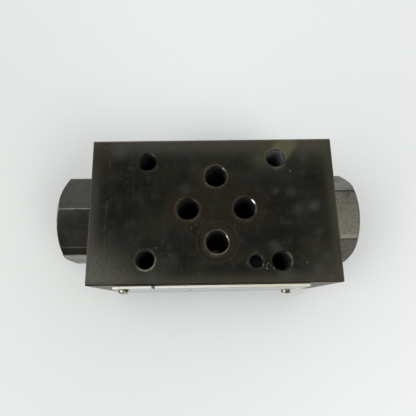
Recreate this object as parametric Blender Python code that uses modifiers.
# Hydraulic sandwich valve: a double pilot-operated check valve in a size 03 modular block.
#
# Metres, origin at the centre of the block's lower face. +X is along the main bore, and +Z is the
# face that carries the next valve. The nameplate is on the -Y side. The lower face has the seals.

import math

import bmesh
import bpy
from mathutils import Matrix, Vector

# Block
BODY_LENGTH = 0.0760
BODY_WIDTH = 0.0455
BODY_HEIGHT = 0.0400
BODY_EDGE_BREAK = 0.0004

# Interface of the size 03 pattern (ISO 4401), measured from bolt hole 1 at the back left
BOLT_1_TO_LEFT_FACE = 0.0174
BOLT_1_TO_BACK_FACE = 0.00725
BOLT_HOLES = {"1": (0.0, 0.0), "2": (0.0405, -0.00075), "3": (0.0405, 0.03175), "4": (0.0, 0.0310)}
PORTS = {"p": (0.0215, 0.0259), "t": (0.0215, 0.0051), "a": (0.0127, 0.0155), "b": (0.0302, 0.0155)}
PIN_HOLE = (0.0330, 0.03175)
BOLT_HOLE_DIA = 0.0055
PORT_DIA = 0.0066
PIN_HOLE_DIA = 0.0038
PIN_HOLE_DEPTH = 0.0060
HOLE_EDGE_BREAK = 0.00025
LOWER_PORT_DEPTH = 0.0065

# Seals of the lower face, drawn at the height that they have when the valve is bolted down
FACE_RECESS_DIA = 0.0129
FACE_RECESS_DEPTH = 0.0014
FACE_SEAL_WIDTH = 0.0021

# Main bore. A distance along it is measured outwards from the valve's centre
AXIS_TO_PORT_LINE = 0.0008
PILOT_BORE_DIA = 0.0100
SEAT_BORE_START = 0.0135
THREAD_BORE_START = 0.0280
THREAD_DIA = 0.0200
SEAT_BORE_STEP = 0.0015
FLOW_GROOVE_DEPTH = 0.0015
FLOW_GROOVE_WIDTH = 0.0044
CROSS_DRILL_DIA = 0.0044
CROSS_DRILL_START_HEIGHT = 0.0030
CROSS_DRILL_OVERLAP = 0.0011

# Seat sleeve, measured from its inner end
SLEEVE_LENGTH = 0.0133
SLEEVE_WALL = 0.0022
SEAT_LEDGE = 0.0021
SEAT_EDGE_DEPTH = 0.0035
WINDOW_COUNT = 4
WINDOW_DIA = 0.0038
WINDOW_DEPTH = 0.0062
SLEEVE_GROOVE_START = 0.0005
SLEEVE_GROOVE_WIDTH = 0.0020
SLEEVE_GROOVE_DEPTH = 0.0013

# Poppet with a 90 degree cone
POPPET_WALL = 0.0018
POPPET_NOSE_LEAD = 0.0012
POPPET_BODY_LENGTH = 0.0105
POPPET_STROKE = 0.0025
POPPET_CLOSED_GAP = 0.0001
POPPET_RELIEF_DEPTH = 0.0004
POPPET_RELIEF_WIDTH = 0.0018
BLEED_HOLE_DIA = 0.0008

# Pilot piston
PISTON_LAND_LENGTH = 0.0100
PISTON_STEM_TO_ORIFICE = 0.0017
PISTON_TO_POPPET = 0.0010
PISTON_GROOVE_COUNT = 3
PISTON_GROOVE_PITCH = 0.0026
PISTON_GROOVE_WIDTH = 0.0005
PISTON_GROOVE_DEPTH = 0.0003
PISTON_TIP_BREAK = 0.0004

# Spring
SPRING_WIRE_DIA = 0.0010
SPRING_LENGTH = 0.0154
SPRING_IN_POPPET = 0.0094
SPRING_TURNS = 6
SPRING_CLOSED_TURNS = 1
SPRING_CLOSED_PITCH = 0.00105
SPRING_POINTS_PER_TURN = 9

# Hexagon plugs. A turn is the angle of one corner above the +Y direction
HEX_ACROSS_FLATS = 0.0270
HEX_FACE_STEP = 0.0007
HEX_CHAMFER_ANGLE = math.radians(30)
HEAD_HEIGHT = {"left": 0.0124, "right": 0.0096}
HEX_TURN = {"left": math.radians(26.5), "right": math.radians(7)}
WASHER_FACE_STEP = 0.0006
WASHER_FACE_HEIGHT = 0.0005
PLUG_SEAL_RECESS_STEP = 0.0012
PLUG_SEAL_RECESS_DEPTH = 0.0027
PLUG_SEAL_WIDTH = 0.0023

# Nameplate high on the front side, and its two screws near opposite corners
PLATE_LENGTH = 0.0589
PLATE_WIDTH = 0.0255
PLATE_THICKNESS = 0.0008
PLATE_CORNER_RADIUS = 0.0008
PLATE_SHIFT = -0.00095
PLATE_BELOW_UPPER_FACE = 0.0014
PLATE_SCREW_FROM_EDGE = 0.0030
SCREW_DIA = 0.0022
SCREW_LENGTH = 0.0050
SCREW_HEAD_DIA = 0.0038
SCREW_HEAD_HEIGHT = 0.0012
SCREW_RIM_HEIGHT = 0.0003
SCREW_SLOT_WIDTH = 0.0006
SCREW_SLOT_DEPTH = 0.0006
SCREW_SLOT_TURN = {"upper": math.radians(35), "lower": math.radians(-20)}

# Gaps between neighbouring pieces
SEAT_GAP = 0.0002
RUNNING_GAP = 0.0001
THREAD_GAP = 0.0003
SPRING_GAP = 0.0003
SEAL_GAP = 0.00015

# Facets, and how far a cutter reaches past the metal
MAIN_BORE_FACETS = 32
HOLE_FACETS = 24
INNER_FACETS = 20
HEAD_FACETS = 60
PLATE_CORNER_FACETS = 3
RING_FACETS = 18
SECTION_FACETS = 8
SCREW_FACETS = 16
DOME_FACETS = 4
DRILL_POINT_ANGLE = math.radians(59)
SMOOTH_ANGLE = math.radians(30)
REACH = 0.0010

# Sizes that follow from the ones above
AXIS_HEIGHT = BODY_HEIGHT / 2
PLATE_HEIGHT = BODY_HEIGHT - PLATE_BELOW_UPPER_FACE - PLATE_WIDTH / 2
SEAT_BORE_DIA = THREAD_DIA - 2 * SEAT_BORE_STEP
SLEEVE_DIA = SEAT_BORE_DIA - 2 * SEAT_GAP
GUIDE_DIA = SLEEVE_DIA - 2 * SLEEVE_WALL
ORIFICE_DIA = GUIDE_DIA - 2 * SEAT_LEDGE
SLEEVE_START = SEAT_BORE_START + SEAT_GAP
SEAT_EDGE = SLEEVE_START + SEAT_EDGE_DEPTH
POPPET_START = SEAT_EDGE - POPPET_NOSE_LEAD + POPPET_CLOSED_GAP
POPPET_NOSE_DIA = ORIFICE_DIA - 2 * POPPET_NOSE_LEAD
POPPET_DIA = GUIDE_DIA - 2 * RUNNING_GAP
POPPET_CONE_LENGTH = (POPPET_DIA - POPPET_NOSE_DIA) / 2
POPPET_END = POPPET_START + POPPET_CONE_LENGTH + POPPET_BODY_LENGTH
PISTON_STEM_DIA = ORIFICE_DIA - 2 * PISTON_STEM_TO_ORIFICE
SPRING_POCKET_DIA = POPPET_DIA - 2 * POPPET_WALL
SPRING_OUTER_DIA = SPRING_POCKET_DIA - 2 * SPRING_GAP
SPRING_START = POPPET_END - SPRING_IN_POPPET
SPRING_END = SPRING_START + SPRING_LENGTH

OUT = {"left": Vector((-1, 0, 0)), "right": Vector((1, 0, 0))}
UP = Vector((0, 0, 1))
DOWN = Vector((0, 0, -1))
FRONT = Vector((0, -1, 0))


def on_interface(offset, height):
    """The point at this offset from bolt hole 1, at this height."""
    x = BOLT_1_TO_LEFT_FACE - BODY_LENGTH / 2 + offset[0]
    y = BODY_WIDTH / 2 - BOLT_1_TO_BACK_FACE - offset[1]
    return Vector((x, y, height))


def valve_centre():
    """The middle of the main bore, halfway between ports A and B."""
    middle = (on_interface(PORTS["a"], AXIS_HEIGHT) + on_interface(PORTS["b"], AXIS_HEIGHT)) / 2
    return middle + Vector((0, AXIS_TO_PORT_LINE, 0))


def along(side, distance):
    """The point on the main bore at this distance outwards from the valve's centre."""
    return valve_centre() + OUT[side] * distance


def end_face(side):
    """The distance from the valve's centre to the block's end face."""
    return BODY_LENGTH / 2 - valve_centre().dot(OUT[side])


def plate_screw_places():
    """The x and z of the two nameplate screws."""
    x = PLATE_LENGTH / 2 - PLATE_SCREW_FROM_EDGE
    z = PLATE_WIDTH / 2 - PLATE_SCREW_FROM_EDGE
    return {"upper": (PLATE_SHIFT - x, PLATE_HEIGHT + z), "lower": (PLATE_SHIFT + x, PLATE_HEIGHT - z)}


# Scene and materials


def clear_scene():
    for obj in list(bpy.data.objects):
        bpy.data.objects.remove(obj, do_unlink=True)


def new_collection(name):
    collection = bpy.data.collections.new(name)
    bpy.context.scene.collection.children.link(collection)
    return collection


def new_material(name, colour, roughness, metallic):
    material = bpy.data.materials.new(name)
    material.use_nodes = True
    shader = material.node_tree.nodes["Principled BSDF"]
    shader.inputs["Base Color"].default_value = (*colour, 1)
    shader.inputs["Roughness"].default_value = roughness
    shader.inputs["Metallic"].default_value = metallic
    material.diffuse_color = (*colour, 1)
    return material


def make_materials():
    return {
        "body": new_material("blackened_steel", (0.032, 0.030, 0.028), 0.42, 0.8),
        "plug": new_material("plated_steel", (0.200, 0.195, 0.190), 0.38, 0.9),
        "hardened": new_material("ground_steel", (0.520, 0.520, 0.510), 0.22, 1.0),
        "spring": new_material("spring_steel", (0.300, 0.300, 0.310), 0.30, 1.0),
        "seal": new_material("nitrile_rubber", (0.015, 0.015, 0.016), 0.60, 0.0),
        "plate": new_material("bare_aluminium", (0.640, 0.660, 0.690), 0.35, 1.0),
        "screw": new_material("zinc_yellow_steel", (0.480, 0.380, 0.200), 0.35, 1.0),
    }


def keep(obj, collection, material=None):
    """Puts the object in the collection. Without a material it is a cutter, and is hidden."""
    for other in list(obj.users_collection):
        other.objects.unlink(obj)
    collection.objects.link(obj)
    if material:
        obj.data.materials.append(material)
    else:
        obj.hide_render = True
        obj.display_type = "WIRE"
    return obj


# Shapes


def box(name, size, centre, collection, material=None):
    bpy.ops.mesh.primitive_cube_add(size=1, location=centre)
    obj = bpy.context.object
    obj.name = name
    obj.scale = size
    bpy.ops.object.transform_apply(location=False, rotation=False, scale=True)
    return keep(obj, collection, material)


def turned(name, profile, place, direction, collection, material=None, facets=INNER_FACETS, closed=False):
    """Turns (radius, height) points, given down the outer side, about the line through place."""
    mesh = bpy.data.meshes.new(name)
    edges = [(i, i + 1) for i in range(len(profile) - 1)]
    if closed:
        edges.append((len(profile) - 1, 0))
    mesh.from_pydata([(radius, 0, height) for radius, height in profile], edges, [])
    obj = bpy.data.objects.new(name, mesh)
    obj.location = place
    obj.rotation_euler = UP.rotation_difference(direction).to_euler()
    screw = obj.modifiers.new("Turn", "SCREW")
    screw.steps = screw.render_steps = facets
    screw.use_merge_vertices = True
    screw.merge_threshold = 0.00001
    collection.objects.link(obj)
    return keep(obj, collection, material)


def boolean(obj, other, operation="DIFFERENCE"):
    modifier = obj.modifiers.new(other.name, "BOOLEAN")
    modifier.operation = operation
    modifier.object = other


def blind_hole(name, diameter, depth, mouth, out, cutters):
    """A drilled hole with a broken edge at its mouth and a drill point at its end."""
    r = diameter / 2
    profile = [
        (0, REACH),
        (r + HOLE_EDGE_BREAK + REACH, REACH),
        (r, -HOLE_EDGE_BREAK),
        (r, -depth),
        (0, -depth - r / math.tan(DRILL_POINT_ANGLE)),
    ]
    return turned(name, profile, mouth, out, cutters, facets=HOLE_FACETS)


def upper_mouth(r):
    """The top of a cutter that opens in the upper face with a broken edge."""
    top = BODY_HEIGHT + REACH
    return [(0, top), (r + HOLE_EDGE_BREAK + REACH, top), (r, BODY_HEIGHT - HOLE_EDGE_BREAK)]


def sealed_mouth(r):
    """The bottom of a cutter that opens in the lower face through the flat recess for a seal."""
    recess = FACE_RECESS_DIA / 2
    return [(r, FACE_RECESS_DEPTH), (recess, FACE_RECESS_DEPTH), (recess, -REACH), (0, -REACH)]


def straight_hole(name, diameter, start, end, cutters):
    """A plain bore from start to end."""
    r = diameter / 2
    length = (end - start).length
    profile = [(0, length), (r, length), (r, 0), (0, 0)]
    return turned(name, profile, start, (end - start).normalized(), cutters, facets=HOLE_FACETS)


def seal(name, outer_radius, width, height, middle, place, direction, parts, rubber):
    """A rubber ring of oval section. Middle is the height of its section's centre."""
    profile = []
    for i in range(SECTION_FACETS):
        angle = math.pi / 2 - 2 * math.pi * (i + 0.5) / SECTION_FACETS
        radius = outer_radius - width / 2 + width / 2 * math.cos(angle)
        profile.append((radius, middle + height / 2 * math.sin(angle)))
    return turned(name, profile, place, direction, parts, rubber, facets=RING_FACETS, closed=True)


# Valve body


def half_bore(side):
    """One side of the main bore from its mouth inwards, as (radius, distance) points."""
    seat = SEAT_BORE_DIA / 2
    groove = seat + FLOW_GROOVE_DEPTH
    thread = THREAD_DIA / 2
    recess = thread + PLUG_SEAL_RECESS_STEP
    recess_end = end_face(side) - PLUG_SEAL_RECESS_DEPTH
    groove_start = SLEEVE_START + WINDOW_DEPTH - FLOW_GROOVE_WIDTH / 2
    groove_end = groove_start + FLOW_GROOVE_WIDTH
    return [
        (0, end_face(side) + REACH),
        (recess, end_face(side) + REACH),
        (recess, recess_end),
        (thread, recess_end),
        (thread, THREAD_BORE_START),
        (seat, THREAD_BORE_START),
        (seat, groove_end),
        (groove, groove_end),
        (groove, groove_start),
        (seat, groove_start),
        (seat, SEAT_BORE_START),
        (PILOT_BORE_DIA / 2, SEAT_BORE_START),
    ]


def main_bore(cutters):
    """The bore from end to end: plug and sleeve bores at both ends, and the pilot bore between."""
    left = [(radius, -distance) for radius, distance in reversed(half_bore("left"))]
    profile = half_bore("right") + left
    yield turned("main_bore", profile, valve_centre(), OUT["right"], cutters, facets=MAIN_BORE_FACETS)


def port_passages(cutters):
    """P and T run straight through. A and B come in at the pilot bore and leave from the grooves."""
    r = PORT_DIA / 2
    straight = upper_mouth(r) + sealed_mouth(r)
    upper = upper_mouth(r) + [(r, AXIS_HEIGHT), (0, AXIS_HEIGHT)]
    drill_point = LOWER_PORT_DEPTH + r / math.tan(DRILL_POINT_ANGLE)
    lower = [(0, drill_point), (r, LOWER_PORT_DEPTH)] + sealed_mouth(r)
    for port in ("p", "t"):
        place = on_interface(PORTS[port], 0)
        yield turned(f"port_{port}_passage", straight, place, UP, cutters, facets=HOLE_FACETS)
    for port, side in (("a", "left"), ("b", "right")):
        place = on_interface(PORTS[port], 0)
        yield turned(f"port_{port}_upper", upper, place, UP, cutters, facets=HOLE_FACETS)
        yield turned(f"port_{port}_lower", lower, place, UP, cutters, facets=HOLE_FACETS)
        groove_radius = SEAT_BORE_DIA / 2 + FLOW_GROOVE_DEPTH
        start = place + UP * CROSS_DRILL_START_HEIGHT
        end = along(side, SLEEVE_START + WINDOW_DEPTH) + DOWN * (groove_radius - CROSS_DRILL_OVERLAP)
        end.y = start.y
        yield straight_hole(f"port_{port}_cross_drill", CROSS_DRILL_DIA, start, end, cutters)


def bolt_and_pin_holes(cutters):
    """Four bolt holes right through, a pin hole in each face and the nameplate's screw holes."""
    r = BOLT_HOLE_DIA / 2
    wide = r + HOLE_EDGE_BREAK + REACH
    profile = upper_mouth(r) + [(r, HOLE_EDGE_BREAK), (wide, -REACH), (0, -REACH)]
    for number, offset in BOLT_HOLES.items():
        place = on_interface(offset, 0)
        yield turned(f"bolt_hole_{number}", profile, place, UP, cutters, facets=HOLE_FACETS)
    for name, height, out in (("upper", BODY_HEIGHT, UP), ("lower", 0, DOWN)):
        mouth = on_interface(PIN_HOLE, height)
        yield blind_hole(f"pin_hole_{name}", PIN_HOLE_DIA, PIN_HOLE_DEPTH, mouth, out, cutters)
    for name, (x, z) in plate_screw_places().items():
        mouth = Vector((x, -BODY_WIDTH / 2, z))
        diameter = SCREW_DIA + 2 * SEAT_GAP
        depth = SCREW_LENGTH + SEAT_GAP
        yield blind_hole(f"screw_hole_{name}", diameter, depth, mouth, FRONT, cutters)


def make_body(parts, cutters, steel):
    size = (BODY_LENGTH, BODY_WIDTH, BODY_HEIGHT)
    body = box("valve_body", size, (0, 0, BODY_HEIGHT / 2), parts, steel)
    edges = body.modifiers.new("Broken edges", "BEVEL")
    edges.width = BODY_EDGE_BREAK
    edges.segments = 2
    for passages in (main_bore, port_passages, bolt_and_pin_holes):
        for cutter in passages(cutters):
            boolean(body, cutter)


# Valve internals


def make_seat(side, parts, cutters, steel):
    """The sleeve with the seat edge, the poppet's guide, radial windows and a seal groove."""
    outer = SLEEVE_DIA / 2
    orifice = ORIFICE_DIA / 2
    guide = GUIDE_DIA / 2
    groove = outer - SLEEVE_GROOVE_DEPTH
    groove_end = SLEEVE_GROOVE_START + SLEEVE_GROOVE_WIDTH
    profile = [
        (guide, SLEEVE_LENGTH),
        (outer, SLEEVE_LENGTH),
        (outer, groove_end),
        (groove, groove_end),
        (groove, SLEEVE_GROOVE_START),
        (outer, SLEEVE_GROOVE_START),
        (outer, 0),
        (orifice, 0),
        (orifice, SEAT_EDGE_DEPTH),
        (guide, SEAT_EDGE_DEPTH),
    ]
    place = along(side, SLEEVE_START)
    seat = turned(f"{side}_seat", profile, place, OUT[side], parts, steel, closed=True)
    middle = along(side, SLEEVE_START + WINDOW_DEPTH)
    for i in range(WINDOW_COUNT // 2):
        turn = Matrix.Rotation(2 * math.pi * (i + 0.5) / WINDOW_COUNT, 3, "X")
        radius = (turn @ UP) * (outer + REACH)
        window = straight_hole(f"{side}_windows_{i}", WINDOW_DIA, middle - radius, middle + radius, cutters)
        boolean(seat, window)


def make_poppet(side, parts, cutters, steel):
    """A poppet with a conical nose, a relief behind it, and a pocket for the spring."""
    r = POPPET_DIA / 2
    relief = r - POPPET_RELIEF_DEPTH
    pocket = SPRING_POCKET_DIA / 2
    length = POPPET_END - POPPET_START
    pocket_floor = SPRING_START - SPRING_GAP - POPPET_START
    relief_end = POPPET_CONE_LENGTH + POPPET_RELIEF_WIDTH
    profile = [
        (0, pocket_floor),
        (pocket, pocket_floor),
        (pocket, length),
        (r, length),
        (r, relief_end),
        (relief, relief_end),
        (relief, POPPET_CONE_LENGTH - POPPET_RELIEF_DEPTH),
        (POPPET_NOSE_DIA / 2, 0),
        (0, 0),
    ]
    poppet = turned(f"{side}_poppet", profile, along(side, POPPET_START), OUT[side], parts, steel)
    start = along(side, POPPET_START + (pocket_floor + relief_end) / 2)
    end = start + UP * (r + REACH)
    boolean(poppet, straight_hole(f"{side}_bleed_hole", BLEED_HOLE_DIA, start, end, cutters))


def make_piston(parts, steel):
    """The pilot piston: a grooved land in the pilot bore, and a stem towards each poppet."""
    land = PILOT_BORE_DIA / 2 - RUNNING_GAP
    groove = land - PISTON_GROOVE_DEPTH
    stem = PISTON_STEM_DIA / 2
    tip = POPPET_START - PISTON_TO_POPPET
    end = PISTON_LAND_LENGTH / 2
    half = [(0, tip), (stem - PISTON_TIP_BREAK, tip), (stem, tip - PISTON_TIP_BREAK), (stem, end), (land, end)]
    grooves = []
    for i in range(PISTON_GROOVE_COUNT):
        middle = ((PISTON_GROOVE_COUNT - 1) / 2 - i) * PISTON_GROOVE_PITCH
        top = middle + PISTON_GROOVE_WIDTH / 2
        bottom = middle - PISTON_GROOVE_WIDTH / 2
        grooves += [(land, top), (groove, top), (groove, bottom), (land, bottom)]
    other_half = [(radius, -height) for radius, height in reversed(half)]
    turned("pilot_piston", half + grooves + other_half, valve_centre(), OUT["right"], parts, steel)


def spring_point(turns, radius):
    """A point on the coil's centre line after so many turns. The end turns lie closed."""
    last_open = SPRING_TURNS + SPRING_CLOSED_TURNS
    rise = SPRING_LENGTH - SPRING_WIRE_DIA - 2 * SPRING_CLOSED_TURNS * SPRING_CLOSED_PITCH
    closed = min(turns, SPRING_CLOSED_TURNS) + max(turns - last_open, 0)
    height = SPRING_WIRE_DIA / 2 + closed * SPRING_CLOSED_PITCH + (turns - closed) / SPRING_TURNS * rise
    angle = 2 * math.pi * turns
    return Vector((radius * math.cos(angle), radius * math.sin(angle), height))


def make_spring(side, parts, steel):
    """A compression spring between the poppet's pocket and the plug."""
    curve = bpy.data.curves.new(f"{side}_spring_wire", "CURVE")
    curve.dimensions = "3D"
    curve.bevel_depth = SPRING_WIRE_DIA / 2
    curve.bevel_resolution = 2
    curve.use_fill_caps = True
    wire = curve.splines.new("POLY")
    wire.points.add((SPRING_TURNS + 2 * SPRING_CLOSED_TURNS) * SPRING_POINTS_PER_TURN)
    radius = (SPRING_OUTER_DIA - SPRING_WIRE_DIA) / 2
    for i, point in enumerate(wire.points):
        point.co = (*spring_point(i / SPRING_POINTS_PER_TURN, radius), 1)
    coil = bpy.data.objects.new(curve.name, curve)
    coil.location = along(side, SPRING_START)
    coil.rotation_euler = UP.rotation_difference(OUT[side]).to_euler()
    parts.objects.link(coil)
    solid_from_curve(coil, f"{side}_spring", parts, steel)


def solid_from_curve(coil, name, collection, material):
    """Makes the curve's tube a closed mesh object in the same place."""
    bpy.context.view_layer.update()
    mesh = bpy.data.meshes.new_from_object(coil.evaluated_get(bpy.context.evaluated_depsgraph_get()))
    mesh.materials.clear()
    work = bmesh.new()
    work.from_mesh(mesh)
    bmesh.ops.remove_doubles(work, verts=work.verts, dist=0.000001)
    work.to_mesh(mesh)
    work.free()
    solid = bpy.data.objects.new(name, mesh)
    solid.matrix_world = coil.matrix_world
    collection.objects.link(solid)
    bpy.data.objects.remove(coil)
    return keep(solid, collection, material)


# Plugs


def hexagon_turn(side):
    """Points local +Z out of the block, with one corner of the hexagon at its turn."""
    flat = HEX_TURN[side] + math.pi / 6
    across = Vector((0, math.cos(flat), math.sin(flat)))
    up = OUT[side].cross(across)
    return Matrix((across, up, OUT[side])).transposed().to_euler()


def make_plug(side, parts, cutters, steel):
    """A plug turned from hexagon bar: chamfered head, washer face, seal neck, shank and pocket."""
    head = HEAD_HEIGHT[side]
    place = along(side, end_face(side) + SEAT_GAP)
    corner = HEX_ACROSS_FLATS / math.sqrt(3)
    hexagon_height = head - WASHER_FACE_HEIGHT
    bpy.ops.mesh.primitive_cylinder_add(vertices=6, radius=corner, depth=hexagon_height)
    plug = bpy.context.object
    plug.name = f"{side}_plug"
    plug.data.transform(Matrix.Translation(UP * (WASHER_FACE_HEIGHT + hexagon_height / 2)))
    plug.location = place
    plug.rotation_euler = hexagon_turn(side)
    keep(plug, parts, steel)

    face = HEX_ACROSS_FLATS / 2 - HEX_FACE_STEP
    outer = corner + REACH
    drop = (outer - face) * math.tan(HEX_CHAMFER_ANGLE)
    chamfer = [(0, head), (face, head), (outer, head - drop), (outer, 0), (0, 0)]
    cone = turned(f"{side}_head_chamfer", chamfer, place, OUT[side], cutters, facets=HEAD_FACETS)
    boolean(plug, cone, "INTERSECT")
    boolean(plug, shank(side, place, cutters), "UNION")
    boolean(plug, plug_pocket(side, place, cutters))


def shank(side, place, cutters):
    """From the head inwards: washer face, neck under the seal, thread, and nose against the sleeve."""
    face = end_face(side) + SEAT_GAP
    washer = HEX_ACROSS_FLATS / 2 - WASHER_FACE_STEP
    neck = THREAD_DIA / 2 + PLUG_SEAL_RECESS_STEP - PLUG_SEAL_WIDTH - 2 * SEAL_GAP
    thread = THREAD_DIA / 2 - THREAD_GAP
    nose = SEAT_BORE_DIA / 2 - THREAD_GAP
    neck_end = PLUG_SEAL_RECESS_DEPTH + SEAT_GAP
    thread_end = face - THREAD_BORE_START - SEAT_GAP
    nose_end = face - SLEEVE_START - SLEEVE_LENGTH - SEAT_GAP
    profile = [
        (0, WASHER_FACE_HEIGHT + REACH),
        (washer, WASHER_FACE_HEIGHT + REACH),
        (washer, 0),
        (neck, 0),
        (neck, -neck_end),
        (thread, -neck_end - (thread - neck)),
        (thread, -thread_end),
        (nose, -thread_end),
        (nose, -nose_end),
        (0, -nose_end),
    ]
    return turned(f"{side}_shank", profile, place, OUT[side], cutters, facets=MAIN_BORE_FACETS)


def plug_pocket(side, place, cutters):
    """The pocket that stops the poppet at its full stroke, and the deeper one that seats the spring."""
    face = end_face(side) + SEAT_GAP
    spring = SPRING_POCKET_DIA / 2
    stop = GUIDE_DIA / 2 + THREAD_GAP
    stop_depth = face - POPPET_END - POPPET_STROKE - SEAT_GAP
    spring_depth = face - SPRING_END - SPRING_GAP
    mouth = face - SLEEVE_START - SLEEVE_LENGTH + REACH
    profile = [(0, -spring_depth), (spring, -spring_depth), (spring, -stop_depth)]
    profile += [(stop, -stop_depth), (stop, -mouth), (0, -mouth)]
    return turned(f"{side}_plug_pocket", profile, place, OUT[side], cutters, facets=HOLE_FACETS)


# Seals


def make_plug_seal(side, parts, rubber):
    outer = THREAD_DIA / 2 + PLUG_SEAL_RECESS_STEP - SEAL_GAP
    height = PLUG_SEAL_RECESS_DEPTH + SEAT_GAP - 2 * SEAL_GAP
    middle = end_face(side) + (SEAT_GAP - PLUG_SEAL_RECESS_DEPTH) / 2
    seal(f"{side}_plug_oring", outer, PLUG_SEAL_WIDTH, height, middle, valve_centre(), OUT[side], parts, rubber)


def make_seat_seal(side, parts, rubber):
    outer = SEAT_BORE_DIA / 2 - SEAL_GAP
    width = SLEEVE_GROOVE_DEPTH + SEAT_GAP - 2 * SEAL_GAP
    height = SLEEVE_GROOVE_WIDTH - 2 * SEAL_GAP
    middle = SLEEVE_START + SLEEVE_GROOVE_START + SLEEVE_GROOVE_WIDTH / 2
    seal(f"{side}_seat_oring", outer, width, height, middle, valve_centre(), OUT[side], parts, rubber)


def make_face_seals(parts, rubber):
    outer = FACE_RECESS_DIA / 2 - SEAL_GAP
    height = FACE_RECESS_DEPTH - 2 * SEAL_GAP
    middle = FACE_RECESS_DEPTH / 2
    for port, offset in PORTS.items():
        place = on_interface(offset, 0)
        seal(f"port_{port}_oring", outer, FACE_SEAL_WIDTH, height, middle, place, UP, parts, rubber)


# Nameplate


def make_plate(parts, cutters, aluminium):
    """A flat plate with rounded corners and two screw holes."""
    back = -BODY_WIDTH / 2 - SEAT_GAP
    place = Vector((PLATE_SHIFT, back - PLATE_THICKNESS / 2, PLATE_HEIGHT))
    plate = box("name_plate", (PLATE_LENGTH, PLATE_THICKNESS, PLATE_WIDTH), place, parts, aluminium)
    work = bmesh.new()
    work.from_mesh(plate.data)
    corners = [edge for edge in work.edges if abs(edge.verts[0].co.y - edge.verts[1].co.y) > PLATE_THICKNESS / 2]
    bmesh.ops.bevel(work, geom=corners, offset=PLATE_CORNER_RADIUS, segments=PLATE_CORNER_FACETS,
                    profile=0.5, affect="EDGES")
    work.to_mesh(plate.data)
    work.free()
    for name, (x, z) in plate_screw_places().items():
        start = Vector((x, back + REACH, z))
        end = start + FRONT * (PLATE_THICKNESS + 2 * REACH)
        boolean(plate, straight_hole(f"plate_hole_{name}", SCREW_DIA + 2 * SEAT_GAP, start, end, cutters))


def make_plate_screws(parts, cutters, steel):
    """Two round-head screws with a slot."""
    r = SCREW_DIA / 2
    rim = SCREW_HEAD_DIA / 2
    dome = SCREW_HEAD_HEIGHT - SCREW_RIM_HEIGHT
    head = []
    for i in range(DOME_FACETS + 1):
        angle = math.pi / 2 * (1 - i / DOME_FACETS)
        head.append((rim * math.cos(angle), SCREW_RIM_HEIGHT + dome * math.sin(angle)))
    head[0] = (0, SCREW_HEAD_HEIGHT)
    profile = head + [(rim, 0), (r, 0), (r, -SCREW_LENGTH), (0, -SCREW_LENGTH)]
    under_head = -BODY_WIDTH / 2 - SEAT_GAP - PLATE_THICKNESS - SEAT_GAP
    for name, (x, z) in plate_screw_places().items():
        place = Vector((x, under_head, z))
        screw = turned(f"{name}_plate_screw", profile, place, FRONT, parts, steel, facets=SCREW_FACETS)
        size = (2 * SCREW_HEAD_DIA, 2 * SCREW_SLOT_DEPTH, SCREW_SLOT_WIDTH)
        slot = box(f"{name}_screw_slot", size, place + FRONT * SCREW_HEAD_HEIGHT, cutters)
        slot.rotation_euler = (0, SCREW_SLOT_TURN[name], 0)
        boolean(screw, slot)


# Assembly


def shade(parts):
    """Fixes each part's shape, and shades it smooth with sharp corners."""
    bpy.context.view_layer.update()
    depsgraph = bpy.context.evaluated_depsgraph_get()
    made = [(obj, bpy.data.meshes.new_from_object(obj.evaluated_get(depsgraph))) for obj in parts.objects]
    for obj, mesh in made:
        obj.modifiers.clear()
        obj.data = mesh
        mesh.name = obj.name
        mesh.shade_smooth()
        mesh.set_sharp_from_angle(angle=SMOOTH_ANGLE)


def make_valve():
    clear_scene()
    parts = new_collection("sandwich_valve")
    cutters = new_collection("cutters")
    materials = make_materials()
    make_body(parts, cutters, materials["body"])
    for side in OUT:
        make_seat(side, parts, cutters, materials["hardened"])
        make_poppet(side, parts, cutters, materials["hardened"])
        make_spring(side, parts, materials["spring"])
        make_plug(side, parts, cutters, materials["plug"])
        make_plug_seal(side, parts, materials["seal"])
        make_seat_seal(side, parts, materials["seal"])
    make_piston(parts, materials["hardened"])
    make_face_seals(parts, materials["seal"])
    make_plate(parts, cutters, materials["plate"])
    make_plate_screws(parts, cutters, materials["screw"])
    shade(parts)


make_valve()
